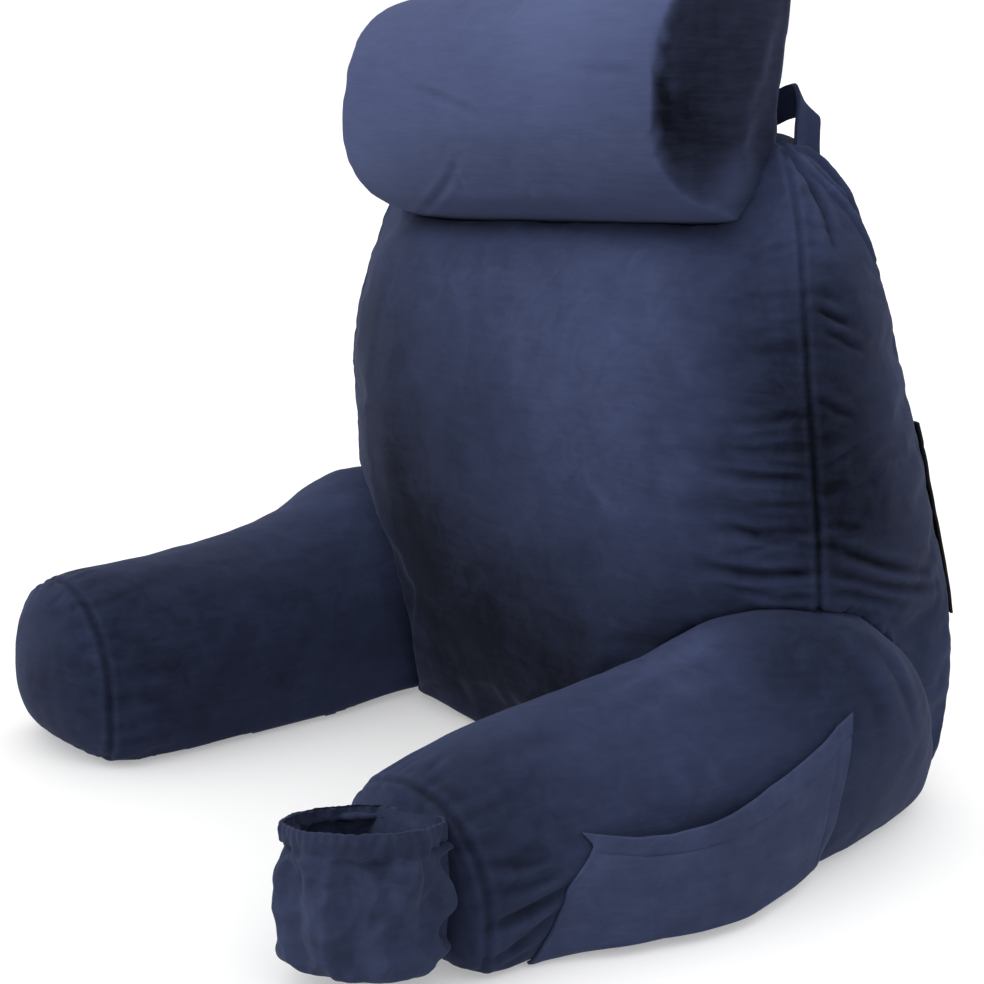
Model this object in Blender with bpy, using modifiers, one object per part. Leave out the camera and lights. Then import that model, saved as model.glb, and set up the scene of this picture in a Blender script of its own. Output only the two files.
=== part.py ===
"""Reading pillow with arms, in navy short-pile velvet.

A filled backrest stands on a flat base between two filled arm bolsters. A half-round neck roll lies
against its top, a strap loop stands on one shoulder, and pockets are sewn to the left arm and the rear.

Metres, +Z up. The origin is the middle of the base. The sitter looks along -Y, and left and right are
the sitter's, so the left arm is at +X.
"""

from collections import namedtuple
from math import atan2, cos, pi, radians, sin, sqrt

import bmesh
import bpy
from mathutils import Vector
from mathutils.bvhtree import BVHTree

SEAM_GAP = 0.0003           # between pieces that are sewn or lie together

# Backrest: a wedge with a crowned front, a narrow top and a wide base.
BACK_HEIGHT = 0.500
BACK_CUTS = 5
SIDE_CROWN = 0.012          # how far the side panels swell between their seams
REAR_CROWN = 0.010
TOP_CROWN = 0.006
SHOULDER_DROP = 0.005       # the top corners hang below the middle of the top
FRONT_SEAM_CREASE = 0.55
REAR_SEAM_CREASE = 0.20
CROWN_FULLNESS = 0.32       # below 1 gives a plumper crown
BASE_CREASE = 0.35

BackSection = namedtuple("BackSection", "height front_half rear_half front rear crown")
BACK_SECTIONS = (
    BackSection(0.000, 0.266, 0.271, 0.118, 0.280, 0.042),
    BackSection(0.083, 0.282, 0.281, 0.124, 0.287, 0.062),
    BackSection(0.167, 0.285, 0.272, 0.122, 0.280, 0.066),
    BackSection(0.250, 0.282, 0.256, 0.116, 0.264, 0.062),
    BackSection(0.333, 0.276, 0.244, 0.112, 0.243, 0.056),
    BackSection(0.417, 0.248, 0.237, 0.128, 0.220, 0.038),
    BackSection(0.500, 0.210, 0.215, 0.150, 0.185, 0.002),
)

# Arms: bolsters with an oval section, flat where they rest. They rise towards the backrest, lean out
# and wrap round its lower front corner.
ARM_CUTS = 3
ARM_FLATTEN = 0.46          # height of an oval's middle over the arm's height
ARM_TOP_SQUARENESS = 0.05   # 0 is an oval, 1 a box
ARM_BASE_SQUARENESS = 0.92
ARM_END_CREASE = 0.3
ARM_REAR_CROWN = 0.006

ArmSection = namedtuple("ArmSection", "share along middle half_width height lean")
ARM_SECTIONS = (
    ArmSection(0.000, -0.186, 0.225, 0.076, 0.106, 0.000),
    ArmSection(0.125, -0.140, 0.219, 0.084, 0.117, 0.000),
    ArmSection(0.250, -0.082, 0.219, 0.087, 0.126, 0.002),
    ArmSection(0.375, -0.020, 0.222, 0.089, 0.133, 0.006),
    ArmSection(0.500, 0.040, 0.226, 0.091, 0.144, 0.014),
    ArmSection(0.625, 0.100, 0.230, 0.093, 0.182, 0.030),
    ArmSection(0.750, 0.160, 0.224, 0.089, 0.177, 0.042),
    ArmSection(0.875, 0.212, 0.214, 0.080, 0.128, 0.040),
    ArmSection(1.000, 0.246, 0.206, 0.072, 0.052, 0.010),
)

Arm = namedtuple("Arm", "name side reach front_rise front_crown")
LEFT_ARM = Arm("arm_left", 1, 0.000, 0.000, 0.012)
RIGHT_ARM = Arm("arm_right", -1, 0.020, 0.036, 0.030)

# Neck roll: a half-round bolster whose flat side lies against the top of the backrest.
ROLL_CUTS = 3
ROLL_HALF_LENGTH = 0.182
ROLL_MIDDLE = 0.004         # it lies a little towards the left shoulder
ROLL_DEPTH = 0.122
ROLL_HALF_HEIGHT = 0.093
ROLL_MIDDLE_HEIGHT = 0.508
ROLL_REAR = 0.158           # its flat side, at the middle of its height
ROLL_LEAN = radians(8)
ROLL_TILT = radians(3.8)    # its right end hangs lower
ROLL_FULLNESS = 3.0         # power of its half-round front, 2 is a half ellipse
ROLL_END_CROWN = 0.008
ROLL_SIDE_SWELL = 0.006
ROLL_END_CREASE = 0.6

# Carry handle: a flat strap that leaves the shoulder, arches and runs down behind the roll.
STRAP_WIDTH = 0.024
STRAP_THICKNESS = 0.003
STRAP_STEPS = 18

StrapStation = namedtuple("StrapStation", "across along height turn")
STRAP_ROUTE = (
    StrapStation(0.1990, 0.1790, 0.4770, 8),
    StrapStation(0.1985, 0.1785, 0.4860, 8),
    StrapStation(0.1985, 0.1780, 0.4960, 10),
    StrapStation(0.1975, 0.1780, 0.5075, 24),
    StrapStation(0.1915, 0.1780, 0.5165, 58),
    StrapStation(0.1800, 0.1780, 0.5150, 80),
    StrapStation(0.1680, 0.1780, 0.5105, 82),
    StrapStation(0.1555, 0.1780, 0.5060, 80),
    StrapStation(0.1430, 0.1785, 0.5025, 72),
)

# Cup pocket: a gathered pouch on the front end of the left arm.
CUP_MIDDLE = (0.240, -0.231)
CUP_SEGMENTS = 36
CUP_WALL = 0.0025
CUP_FRONT_LIFT = 0.012      # the mouth is higher towards the front outer side
CUP_LIFT_BEARING = radians(-38)
CUP_GATHERS = 11
CUP_GATHER_DEPTH = 0.0022
CUP_GATHER_DRIFT = 5.0      # how far the gathers wander round the pouch on their way up, in radians

CupRing = namedtuple("CupRing", "height radius gathered")
CUP_RINGS = (
    CupRing(0.020, 0.0400, 0.3),
    CupRing(0.026, 0.0465, 0.8),
    CupRing(0.038, 0.0505, 1.0),
    CupRing(0.055, 0.0525, 0.9),
    CupRing(0.074, 0.0520, 0.9),
    CupRing(0.088, 0.0495, 1.0),
    CupRing(0.093, 0.0488, 0.5),
    CupRing(0.102, 0.0500, 0.3),
)

# Tablet pocket: a patch on the outer side of the left arm, sewn down at its two sides and its foot.
POCKET_WALL = 0.0025
POCKET_ACROSS = 18
POCKET_UP = 7
POCKET_FOOT = 0.003         # height of its sewn lower edge
POCKET_LEVEL = 0.070        # above this height it hangs from the widest line of the arm
POCKET_SWELL = 0.022        # how far it stands off the arm at the middle of its mouth
POCKET_FOOT_CURL = 0.1      # share of its height in which it leaves the seam at its foot

PocketMouth = namedtuple("PocketMouth", "share along height")
POCKET_MOUTH = (
    PocketMouth(0.00, -0.124, 0.089),
    PocketMouth(0.18, -0.100, 0.079),
    PocketMouth(0.40, -0.060, 0.074),
    PocketMouth(0.58, -0.015, 0.078),
    PocketMouth(0.72, 0.022, 0.088),
    PocketMouth(0.88, 0.065, 0.102),
    PocketMouth(1.00, 0.100, 0.122),
)
POCKET_FOOT_FRONT = -0.144
POCKET_FOOT_REAR = 0.074

# Back pocket: a flat black patch low on the rear panel, as wide as the panel between its side seams.
BACK_POCKET_FOOT_HALF = 0.267
BACK_POCKET_MOUTH_HALF = 0.246
BACK_POCKET_FOOT = 0.140
BACK_POCKET_MOUTH = 0.285
BACK_POCKET_WALL = 0.002
BACK_POCKET_CLEARANCE = 0.0009
BACK_POCKET_EDGE_LIFT = 0.006       # how far its side edges stand off the panel
BACK_POCKET_EDGE_SHARPNESS = 10     # higher keeps that lift closer to the edges
BACK_POCKET_ACROSS = 30
BACK_POCKET_UP = 5

NAVY = (0.020, 0.027, 0.070, 1.0)
NAVY_LIGHT = (0.030, 0.038, 0.090, 1.0)
BLACK = (0.004, 0.004, 0.006, 1.0)
CLOTH_ROUGHNESS = 0.9

CAGE_FACE = 0.999           # a cage coordinate beyond this is on that face of the cage


def clear_scene():
    for thing in list(bpy.data.objects):
        bpy.data.objects.remove(thing, do_unlink=True)


def new_collection(name):
    group = bpy.data.collections.new(name)
    bpy.context.scene.collection.children.link(group)
    return group


def cloth_material(name, color):
    material = bpy.data.materials.new(name)
    material.use_nodes = True
    shader = material.node_tree.nodes["Principled BSDF"]
    shader.inputs["Base Color"].default_value = color
    shader.inputs["Roughness"].default_value = CLOTH_ROUGHNESS
    return material


def row_at(rows, place):
    """The row of a table at a place between its rows, whose first column is the place."""
    for low, high in zip(rows, rows[1:]):
        if place <= high[0]:
            break
    share = min(max((place - low[0]) / (high[0] - low[0]), 0.0), 1.0)
    return type(low)(*(start + (end - start) * share for start, end in zip(low, high)))


def disc(u, v, squareness=0.0):
    """A point of the square from -1 to 1, moved into the unit disc."""
    round_u = u * sqrt(1 - v * v / 2)
    round_v = v * sqrt(1 - u * u / 2)
    return round_u + (u - round_u) * squareness, round_v + (v - round_v) * squareness


def finish_object(name, mesh_data, collection, material):
    mesh = bpy.data.meshes.new(name)
    mesh_data.to_mesh(mesh)
    mesh_data.free()
    mesh.shade_smooth()
    thing = bpy.data.objects.new(name, mesh)
    thing.data.materials.append(material)
    collection.objects.link(thing)
    return thing


def cushion_cage(cuts, lengthwise_cuts, place, creases, mirrored=False):
    """A cube from -1 to 1, cut into a grid, with each corner point moved by place(a, b, c).

    lengthwise_cuts are more cuts across the edges along one axis, as (axis, cuts). creases gives the
    crease of an edge from the two cube faces that meet there.
    """
    cage = bmesh.new()
    bmesh.ops.create_cube(cage, size=2)
    bmesh.ops.subdivide_edges(cage, edges=cage.edges[:], cuts=cuts, use_grid_fill=True)
    if lengthwise_cuts:
        axis, more_cuts = lengthwise_cuts
        along = [edge for edge in cage.edges if edge.verts[0].co[axis] != edge.verts[1].co[axis]]
        bmesh.ops.subdivide_edges(cage, edges=along, cuts=more_cuts)
    crease = cage.edges.layers.float.new("crease_edge")
    for edge in cage.edges:
        middle = (edge.verts[0].co + edge.verts[1].co) / 2
        sides = [(axis, round(middle[axis])) for axis in range(3) if abs(middle[axis]) > CAGE_FACE]
        if len(sides) == 2:
            edge[crease] = creases(sides)
    for vert in cage.verts:
        vert.co = place(*vert.co)
    if mirrored:
        bmesh.ops.reverse_faces(cage, faces=cage.faces[:])
    return cage


def round_off(thing):
    """Smooths a cage, and fixes its facets so that a copy of it has the same ones."""
    rounding = thing.modifiers.new("Rounding", "SUBSURF")
    rounding.levels = 1
    rounding.render_levels = 1
    facets = thing.modifiers.new("Facets", "TRIANGULATE")
    facets.quad_method = "FIXED"


def cut_away(thing, cutter):
    cut = thing.modifiers.new("Room for " + cutter.name, "BOOLEAN")
    cut.operation = "DIFFERENCE"
    cut.object = cutter


def evaluated_tree(thing):
    """The finished surface of an object, to lay other pieces on."""
    bpy.context.view_layer.update()
    graph = bpy.context.evaluated_depsgraph_get()
    return BVHTree.FromObject(thing, graph)


# ---- backrest

def backrest_point(a, b, c):
    """a runs across, b from front to rear and c up."""
    row = row_at(BACK_SECTIONS, BACK_HEIGHT * (c + 1) / 2)
    depth_share = (b + 1) / 2
    half = row.front_half + (row.rear_half - row.front_half) * depth_share
    rise = 1 - c * c
    half += SIDE_CROWN * (1 - b * b) * rise
    fullness = (1 - a * a) ** CROWN_FULLNESS
    front = row.front - row.crown * fullness
    rear = row.rear + REAR_CROWN * fullness * rise
    z = row.height
    if c > CAGE_FACE:
        z += TOP_CROWN * (1 - a * a) * (1 - b * b) - SHOULDER_DROP * a ** 4
    return Vector((a * half, front + (rear - front) * depth_share, z))


def backrest_crease(sides):
    if (1, -1) in sides:
        return FRONT_SEAM_CREASE
    if (1, 1) in sides:
        return REAR_SEAM_CREASE
    return BASE_CREASE if (2, -1) in sides else 0.0


def make_backrest(collection, material, seats):
    cage = cushion_cage(BACK_CUTS, None, backrest_point, backrest_crease)
    backrest = finish_object("backrest", cage, collection, material)
    round_off(backrest)
    for seat in seats:
        cut_away(backrest, seat)
    return backrest


# ---- arms

def arm_point(a, b, c, arm):
    """a runs across, b from front to rear and c up."""
    row = row_at(ARM_SECTIONS, (b + 1) / 2)
    base_share = max(0.0, -c)
    squareness = ARM_TOP_SQUARENESS + (ARM_BASE_SQUARENESS - ARM_TOP_SQUARENESS) * base_share
    across, up = disc(a, c, squareness)
    y = row.along - arm.reach * (1 - row.share)
    if abs(b) > CAGE_FACE:
        crown = ARM_REAR_CROWN if b > 0 else arm.front_crown
        y += (1 if b > 0 else -1) * crown * sqrt(1 - max(a * a, c * c))
    height = row.height + arm.front_rise * (1 - row.share) ** 2
    z = max(height * (ARM_FLATTEN + (1 - ARM_FLATTEN) * up), 0.0)
    x = row.middle + row.half_width * across + row.lean * z / height
    return Vector((arm.side * x, y, z))


def make_arm(arm, collection, material):
    def place(a, b, c):
        return arm_point(a, b, c, arm)

    def crease(sides):
        return ARM_END_CREASE if any(axis == 1 for axis, _ in sides) else 0.0

    cage = cushion_cage(ARM_CUTS, (1, 1), place, crease, mirrored=arm.side < 0)
    bolster = finish_object(arm.name, cage, collection, material)
    round_off(bolster)
    return bolster


def make_seat(piece, collection):
    """A copy of a piece, larger by the seam gap, that makes room for it in its neighbours."""
    cutter = bpy.data.objects.new(piece.name + "_seat", piece.data)
    collection.objects.link(cutter)
    round_off(cutter)
    grow = cutter.modifiers.new("Gap", "DISPLACE")
    grow.mid_level = 0.0
    grow.strength = 2 * SEAM_GAP
    cutter.hide_render = True
    cutter.display_type = "WIRE"
    return cutter


# ---- neck roll

def roll_point(a, b, c):
    """a runs across; b is -1 at the round front and 1 at the flat rear; c runs up."""
    forward, up = disc(-b, c)
    chord = sqrt(max(0.0, 1 - up * up))
    share = (1 + forward / chord) / 2 if chord else 0.5
    full_chord = max(0.0, 1 - abs(up) ** ROLL_FULLNESS) ** (1 / ROLL_FULLNESS)
    swell = ROLL_SIDE_SWELL * (1 - a * a)
    depth = (ROLL_DEPTH + swell) * full_chord * share
    rise = (ROLL_HALF_HEIGHT + swell / 2) * up
    x = ROLL_MIDDLE + a * ROLL_HALF_LENGTH
    if abs(a) > CAGE_FACE:
        x += (1 if a > 0 else -1) * ROLL_END_CROWN * max(0.0, 1 - forward * forward - up * up)
    y = ROLL_REAR - depth * cos(ROLL_LEAN) + rise * sin(ROLL_LEAN)
    z = ROLL_MIDDLE_HEIGHT + rise * cos(ROLL_LEAN) + depth * sin(ROLL_LEAN) + x * sin(ROLL_TILT)
    return Vector((x, y, z))


def make_neck_roll(collection, material):
    def crease(sides):
        if any(axis == 0 for axis, _ in sides):
            return ROLL_END_CREASE
        return ROLL_END_CREASE if (1, 1) in sides else 0.0

    cage = cushion_cage(ROLL_CUTS, (0, 1), roll_point, crease)
    roll = finish_object("neck_roll", cage, collection, material)
    round_off(roll)
    return roll


# ---- sewn-on pieces

def thicken(thing, thickness, offset):
    wall = thing.modifiers.new("Wall", "SOLIDIFY")
    wall.thickness = thickness
    wall.offset = offset
    wall.use_even_offset = True


def strip_mesh(columns, rows, place):
    """A grid whose points are placed by place(u, v), u and v from 0 to 1."""
    sheet = bmesh.new()
    bmesh.ops.create_grid(sheet, x_segments=columns, y_segments=rows, size=1)
    for vert in sheet.verts:
        vert.co = place((vert.co.x + 1) / 2, (vert.co.y + 1) / 2)
    return sheet


def curve_point(stations, share):
    """A point on the smooth curve through a table's rows, all columns at once."""
    spans = len(stations) - 1
    index = min(int(share * spans), spans - 1)
    t = share * spans - index
    before, start = stations[max(index - 1, 0)], stations[index]
    end, after = stations[index + 1], stations[min(index + 2, spans)]
    return type(start)(*(
        0.5 * (2 * q + (r - p) * t + (2 * p - 5 * q + 4 * r - s) * t * t + (3 * q - p - 3 * r + s) * t ** 3)
        for p, q, r, s in zip(before, start, end, after)))


def make_handle(collection, material, backrest_seat):
    def place(u, v):
        station = curve_point(STRAP_ROUTE, u)
        turn = radians(station.turn)
        width = Vector((0.0, cos(turn), -sin(turn)))
        centre = Vector((station.across, station.along, station.height))
        return centre + width * STRAP_WIDTH * (v - 0.5)

    strap = strip_mesh(STRAP_STEPS, 2, place)
    bmesh.ops.recalc_face_normals(strap, faces=strap.faces[:])
    handle = finish_object("carry_handle", strap, collection, material)
    thicken(handle, STRAP_THICKNESS, 0.0)
    cut_away(handle, backrest_seat)
    return handle


def cup_point(angle, ring, arm_surface):
    reach = (ring.height - CUP_RINGS[0].height) / (CUP_RINGS[-1].height - CUP_RINGS[0].height)
    lift = CUP_FRONT_LIFT * cos(angle - CUP_LIFT_BEARING) * reach ** 2
    gather = CUP_GATHER_DEPTH * ring.gathered * sin(CUP_GATHERS * angle + CUP_GATHER_DRIFT * reach)
    radius = ring.radius + gather
    x = CUP_MIDDLE[0] + radius * cos(angle)
    y = CUP_MIDDLE[1] + radius * sin(angle)
    z = ring.height + lift
    hit = arm_surface.ray_cast(Vector((x, -1.0, z)), Vector((0, 1, 0)))[0]
    limit = hit.y if hit else ARM_SECTIONS[0].along
    return Vector((x, min(y, limit - 2 * SEAM_GAP), z))


def make_cup_pocket(collection, material, arm_surface, arm_seat):
    pouch = bmesh.new()
    bmesh.ops.create_cone(pouch, cap_ends=True, segments=CUP_SEGMENTS, radius1=1, radius2=1, depth=1)
    uprights = [edge for edge in pouch.edges if abs(edge.verts[0].co.z - edge.verts[1].co.z) > 0.5]
    bmesh.ops.subdivide_edges(pouch, edges=uprights, cuts=len(CUP_RINGS) - 2)
    pouch.normal_update()
    lid = [face for face in pouch.faces if face.normal.z > 0.9]
    bmesh.ops.delete(pouch, geom=lid, context="FACES")
    for vert in pouch.verts:
        level = round((vert.co.z + 0.5) * (len(CUP_RINGS) - 1))
        vert.co = cup_point(atan2(vert.co.y, vert.co.x), CUP_RINGS[level], arm_surface)
    pocket = finish_object("cup_pocket", pouch, collection, material)
    thicken(pocket, CUP_WALL, -1.0)
    cut_away(pocket, arm_seat)
    return pocket


def make_tablet_pocket(collection, material, arm_surface, arm_seat):
    def arm_side(y, z):
        return arm_surface.ray_cast(Vector((1.0, y, z)), Vector((-1, 0, 0)))[0].x + 2 * SEAM_GAP

    def place(u, v):
        mouth = row_at(POCKET_MOUTH, u)
        foot = POCKET_FOOT_FRONT + (POCKET_FOOT_REAR - POCKET_FOOT_FRONT) * u
        y = foot + (mouth.along - foot) * v
        z = POCKET_FOOT + (mouth.height - POCKET_FOOT) * v
        hang = arm_side(y, max(z, POCKET_LEVEL))
        free = sqrt(sin(pi * u) * min(1.0, v / POCKET_FOOT_CURL)) if 0 < u < 1 else 0.0
        swell = POCKET_SWELL * sin(pi * u)
        sewn = arm_side(y, z)
        return Vector((sewn + (hang + swell - sewn) * free, y, z))

    patch = strip_mesh(POCKET_ACROSS, POCKET_UP, place)
    pocket = finish_object("tablet_pocket", patch, collection, material)
    thicken(pocket, POCKET_WALL, 1.0)
    cut_away(pocket, arm_seat)
    return pocket


def make_back_pocket(collection, material, backrest_surface):
    def place(u, v):
        across = 1 - 2 * u
        x = (BACK_POCKET_FOOT_HALF + (BACK_POCKET_MOUTH_HALF - BACK_POCKET_FOOT_HALF) * v) * across
        z = BACK_POCKET_FOOT + (BACK_POCKET_MOUTH - BACK_POCKET_FOOT) * v
        y = backrest_surface.ray_cast(Vector((x, 1.0, z)), Vector((0, -1, 0)))[0].y
        lift = BACK_POCKET_EDGE_LIFT * abs(across) ** BACK_POCKET_EDGE_SHARPNESS
        return Vector((x, y + BACK_POCKET_CLEARANCE + lift, z))

    patch = strip_mesh(BACK_POCKET_ACROSS, BACK_POCKET_UP, place)
    pocket = finish_object("back_pocket", patch, collection, material)
    thicken(pocket, BACK_POCKET_WALL, 1.0)
    return pocket


def main():
    clear_scene()
    pillow = new_collection("reading_pillow")
    cutters = new_collection("cutters")
    velvet = cloth_material("navy_velvet", NAVY)
    pocket_velvet = cloth_material("pocket_velvet", NAVY_LIGHT)
    black_cloth = cloth_material("black_cloth", BLACK)

    left = make_arm(LEFT_ARM, pillow, velvet)
    right = make_arm(RIGHT_ARM, pillow, velvet)
    roll = make_neck_roll(pillow, velvet)
    seats = [make_seat(piece, cutters) for piece in (left, right, roll)]
    backrest = make_backrest(pillow, velvet, seats)
    make_handle(pillow, velvet, make_seat(backrest, cutters))
    left_surface = evaluated_tree(left)
    make_cup_pocket(pillow, pocket_velvet, left_surface, seats[0])
    make_tablet_pocket(pillow, pocket_velvet, left_surface, seats[0])
    make_back_pocket(pillow, black_cloth, evaluated_tree(backrest))


main()
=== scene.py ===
"""Looks for a navy velvet reading pillow with arms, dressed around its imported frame.

Metres, +Z up. The sitter looks along -Y, and the arm with the pockets is at +X.
"""

import math
import random
from collections import namedtuple

import bmesh
import bpy
import numpy as np
from mathutils import Euler, Matrix, Vector, noise
from mathutils.bvhtree import BVHTree


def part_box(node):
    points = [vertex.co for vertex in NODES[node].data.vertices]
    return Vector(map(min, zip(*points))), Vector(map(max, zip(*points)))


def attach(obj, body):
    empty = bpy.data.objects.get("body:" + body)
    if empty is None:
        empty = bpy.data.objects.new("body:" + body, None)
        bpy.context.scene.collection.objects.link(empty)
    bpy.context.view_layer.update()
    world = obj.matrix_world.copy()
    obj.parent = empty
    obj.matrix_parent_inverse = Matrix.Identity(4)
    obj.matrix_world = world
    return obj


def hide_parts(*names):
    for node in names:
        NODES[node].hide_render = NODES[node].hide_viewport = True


bl_info = {
    "name": "Reading Pillow",
    "version": (1, 0, 0),
    "blender": (4, 5, 0),
    "location": "View3D > Sidebar > Pillow",
    "description": "Builds a velvet reading pillow with arms, a neck roll and pockets",
    "category": "Add Mesh",
}

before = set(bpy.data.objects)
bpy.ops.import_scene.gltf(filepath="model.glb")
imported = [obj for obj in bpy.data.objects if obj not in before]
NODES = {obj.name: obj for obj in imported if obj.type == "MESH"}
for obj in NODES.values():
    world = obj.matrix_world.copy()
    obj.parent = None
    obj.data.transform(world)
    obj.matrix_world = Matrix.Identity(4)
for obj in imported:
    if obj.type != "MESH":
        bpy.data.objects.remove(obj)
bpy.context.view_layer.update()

PHOTO_SIDE = 984
CAMERA_PLACE = (1.10, -0.805, 0.5575)
CAMERA_PITCH = 76.27
CAMERA_BEARING = 52.0
SENSOR_MM = 36.0
FOCAL_PIXELS = 1850.0

SIM_FRAMES = 20
MERGE_DISTANCE = 0.00005    # points of a solid that are closer than this are one point
CLOTH_GAP = 0.0006          # between a sheet and the cover that it lies on
FOLD_FADE_HEIGHT = 0.008    # below this height a fold grows shallower
RIDGE_HEIGHT = 0.42         # of the ridges beside a fold, as a share of its depth
RIDGE_OFFSET = 1.9          # from the middle of a fold to its ridges, in widths of the fold
FOLD_SHADING = 0.4             # painted shade in a fold's valley, painted highlight on its ridges, at the depth below
FOLD_SHADING_DEPTH = 0.004


def linear(hex_colour):
    """An sRGB hex colour as linear red, green, blue and alpha."""
    parts = [int(hex_colour[i:i + 2], 16) / 255 for i in (1, 3, 5)]
    return tuple(c / 12.92 if c <= 0.04045 else ((c + 0.055) / 1.055) ** 2.4 for c in parts) + (1.0,)


# ---- geometry helpers

def points_of(mesh):
    flat = np.empty(len(mesh.vertices) * 3)
    mesh.vertices.foreach_get("co", flat)
    return flat.reshape(-1, 3)


def normals_of(mesh):
    flat = np.empty(len(mesh.vertices) * 3)
    mesh.vertex_normals.foreach_get("vector", flat)
    return flat.reshape(-1, 3)


def set_points(mesh, points):
    mesh.vertices.foreach_set("co", np.ascontiguousarray(points, np.float32).ravel())
    mesh.update()


def new_piece(name, mesh, material):
    thing = bpy.data.objects.new(name, mesh)
    bpy.context.scene.collection.objects.link(thing)
    mesh.materials.clear()
    mesh.materials.append(material)
    mesh.shade_smooth()
    return thing


def apply_modifiers(thing):
    """Makes an object's modifiers part of its mesh."""
    bpy.context.view_layer.update()
    graph = bpy.context.evaluated_depsgraph_get()
    mesh = bpy.data.meshes.new_from_object(thing.evaluated_get(graph))
    old = thing.data
    thing.modifiers.clear()
    thing.data = mesh
    bpy.data.meshes.remove(old)
    mesh.name = thing.name


def tree_of(thing):
    """A tree of an object's own faces, for finding places on its surface."""
    form = bmesh.new()
    form.from_mesh(thing.data)
    form.transform(thing.matrix_world)
    tree = BVHTree.FromBMesh(form)
    form.free()
    return tree


def cushion_copy(node, name, voxel, material):
    """A copy of a solid with an even mesh, which the cloth simulation needs."""
    form = bmesh.new()
    form.from_mesh(NODES[node].data)
    bmesh.ops.remove_doubles(form, verts=form.verts[:], dist=MERGE_DISTANCE)
    mesh = bpy.data.meshes.new(name)
    form.to_mesh(mesh)
    form.free()
    thing = new_piece(name, mesh, material)
    even = thing.modifiers.new("Even mesh", "REMESH")
    even.mode = "VOXEL"
    even.voxel_size = voxel
    even.use_smooth_shade = True
    ease = thing.modifiers.new("Ease", "SMOOTH")
    ease.iterations = 2
    apply_modifiers(thing)
    thing.data.materials.clear()
    thing.data.materials.append(material)
    return thing


def near_shares(points, tree, reach):
    """For each point, 0 on the surface of a tree, rising to 1 at reach."""
    shares = np.ones(len(points))
    for i, point in enumerate(points):
        hit = tree.find_nearest(Vector(point), reach)
        if hit[0] is not None:
            shares[i] = hit[3] / reach
    return shares


def route_distance(points, route):
    """Each point's distance to a polyline, and how far along it the nearest place is, from 0 to 1."""
    route = np.asarray(route, float)
    best = np.full(len(points), 9.0)
    along = np.zeros(len(points))
    spans = np.linalg.norm(np.diff(route, axis=0), axis=1)
    starts = np.concatenate([[0.0], np.cumsum(spans)])
    for i, span in enumerate(spans):
        step = route[i + 1] - route[i]
        t = np.clip((points - route[i]) @ step / max(span * span, 1e-12), 0, 1)
        distance = np.linalg.norm(points - route[i] - t[:, None] * step, axis=1)
        closer = distance < best
        best[closer] = distance[closer]
        along[closer] = (starts[i] + t[closer] * span) / starts[-1]
    return best, along


Fold = namedtuple("Fold", "route depth width fade")
# Puckers where a seam gathers the cover: the point that they run towards on the +X side, and their
# spacing, greatest reach, greatest depth and width
Gather = namedtuple("Gather", "towards spacing reach depth width")
# A patch of painted shade where its tone is below 0 and painted light where it is above 0, partly
# where the nap lies over: its place in the photograph's view, its size in metres and its tone
Brushed = namedtuple("Brushed", "place size tone")


def add_tone(mesh, tones):
    """Adds to the tone in the nap attribute, point by point: below 0 is darker, above 0 lighter."""
    attribute = mesh.attributes.get("nap") or mesh.attributes.new("nap", "FLOAT", "POINT")
    before = np.zeros(len(mesh.vertices), np.float32)
    attribute.data.foreach_get("value", before)
    attribute.data.foreach_set("value", np.clip(before + tones, -1, 1).astype(np.float32))


def paint_shading_patches(mesh, tree, patches):
    """Paints soft patches of shade and light, partly nap, by their places in the photograph's view."""
    points = points_of(mesh)
    tones = np.zeros(len(points))
    for brushed in patches:
        centre = sight(*brushed.place, tree)
        if centre is None:
            continue
        distance = np.linalg.norm(points - np.array(centre), axis=1)
        tones += brushed.tone * np.exp(-(distance / brushed.size) ** 2)
    add_tone(mesh, tones)


def press_folds(mesh, folds):
    """Presses folds into a mesh along its normals, and paints shade into their valleys and highlights
    onto their ridges, kept in the nap attribute.

    A fold with a positive depth is a valley between two low ridges, one with a negative depth a ridge.
    Folds fade out towards the floor, where the cover lies flat.
    """
    points = points_of(mesh)
    normals = normals_of(mesh)
    move = np.zeros(len(points))
    nap = np.zeros(len(points))
    for fold in folds:
        route = np.asarray(fold.route, float)
        reach = 4 * fold.width
        low, high = route.min(0) - reach, route.max(0) + reach
        inside = np.where(((points > low) & (points < high)).all(1))[0]
        if not len(inside):
            continue
        distance, along = route_distance(points[inside], route)
        ends = np.sin(np.pi * np.clip(along, 0.02, 0.98)) ** fold.fade
        valley = np.exp(-(distance / fold.width) ** 2)
        ridges = RIDGE_HEIGHT * np.exp(-((distance - RIDGE_OFFSET * fold.width) / fold.width) ** 2)
        profile = (ridges - valley) * ends
        move[inside] += fold.depth * profile
        # painted shade in the valley and painted highlight on the ridges
        nap[inside] += profile * fold.depth / FOLD_SHADING_DEPTH
    off_floor = np.clip(points[:, 2] / FOLD_FADE_HEIGHT, 0, 1)
    set_points(mesh, points + normals * (move * off_floor)[:, None])
    add_tone(mesh, FOLD_SHADING * nap)


def swell_lumps(mesh, scale, amount, seed):
    """The soft unevenness of a loose filling."""
    points = points_of(mesh)
    normals = normals_of(mesh)
    shift = Vector((seed * 3.1, seed * 1.7, seed * 2.3))
    move = np.empty(len(points))
    for i, point in enumerate(points):
        place = Vector(point) / scale + shift
        move[i] = noise.noise(place) + 0.45 * noise.noise(place * 2.3)
    set_points(mesh, points + normals * (move * amount)[:, None])


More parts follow.
